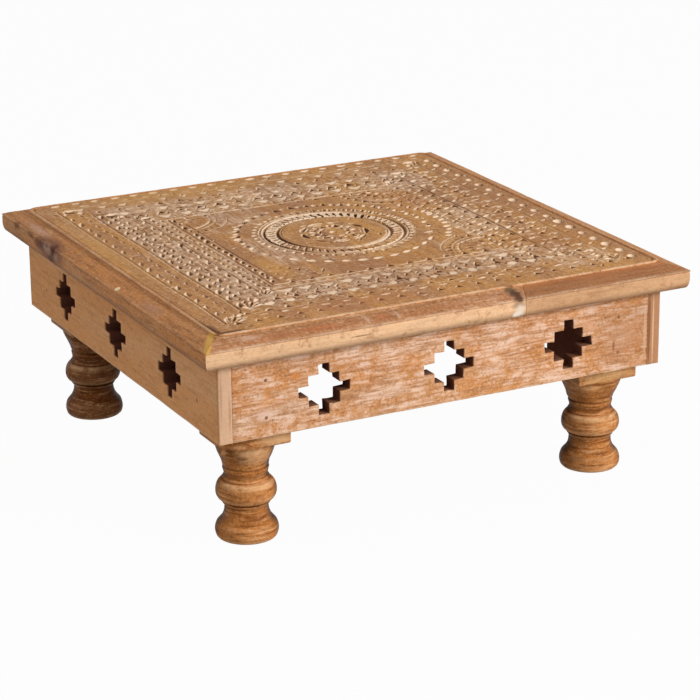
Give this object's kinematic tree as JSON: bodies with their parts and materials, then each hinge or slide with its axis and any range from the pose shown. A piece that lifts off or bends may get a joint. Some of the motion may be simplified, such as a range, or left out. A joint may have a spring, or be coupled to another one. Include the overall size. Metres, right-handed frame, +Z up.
{
  "type": "bajot low table",
  "caption": "Low square wooden table with a plank top let into a mitred moulded frame, pierced apron boards and turned legs.",
  "frame": {"origin": "on the floor, under the middle of the table", "axes": "+X right along the front, +Y to the back, +Z up; the front is the side whose frame rail is made of two lengths"},
  "size_m": [0.45, 0.45, 0.1914],
  "materials": {
    "frame_wood": "worn, limewashed moulding",
    "plank_wood": "worn, limewashed carved planks",
    "apron_wood": "worn, limewashed boards",
    "leg_wood": "worn turned wood",
    "nail_iron": "dark forged iron"
  },
  "bodies": {
    "root": {"top_rail_back": "frame_wood", "top_rail_left": "frame_wood", "top_rail_right": "frame_wood", "top_rail_front_long": "frame_wood", "top_rail_front_short": "frame_wood", "top_plank_1": "plank_wood", "top_plank_2": "plank_wood", "top_plank_3": "plank_wood", "top_plank_4": "plank_wood", "apron_front": "apron_wood", "apron_back": "apron_wood", "apron_left": "apron_wood", "apron_right": "apron_wood", "leg_front_left": "leg_wood", "leg_front_right": "leg_wood", "leg_back_left": "leg_wood", "leg_back_right": "leg_wood", "apron_nail_front_1": "nail_iron", "apron_nail_front_2": "nail_iron", "apron_nail_front_3": "nail_iron", "apron_nail_front_4": "nail_iron", "apron_nail_back_1": "nail_iron", "apron_nail_back_2": "nail_iron", "apron_nail_back_3": "nail_iron", "apron_nail_back_4": "nail_iron", "apron_nail_left_1": "nail_iron", "apron_nail_left_2": "nail_iron", "apron_nail_left_3": "nail_iron", "apron_nail_left_4": "nail_iron", "apron_nail_right_1": "nail_iron", "apron_nail_right_2": "nail_iron", "apron_nail_right_3": "nail_iron", "apron_nail_right_4": "nail_iron", "seat_nail_front_1": "nail_iron", "seat_nail_front_2": "nail_iron", "seat_nail_front_3": "nail_iron", "seat_nail_front_4": "nail_iron", "seat_nail_back_1": "nail_iron", "seat_nail_back_2": "nail_iron", "seat_nail_back_3": "nail_iron", "seat_nail_back_4": "nail_iron", "seat_nail_left_1": "nail_iron", "seat_nail_left_2": "nail_iron", "seat_nail_left_3": "nail_iron", "seat_nail_left_4": "nail_iron", "seat_nail_right_1": "nail_iron", "seat_nail_right_2": "nail_iron", "seat_nail_right_3": "nail_iron", "seat_nail_right_4": "nail_iron"}
  },
  "joints": []
}
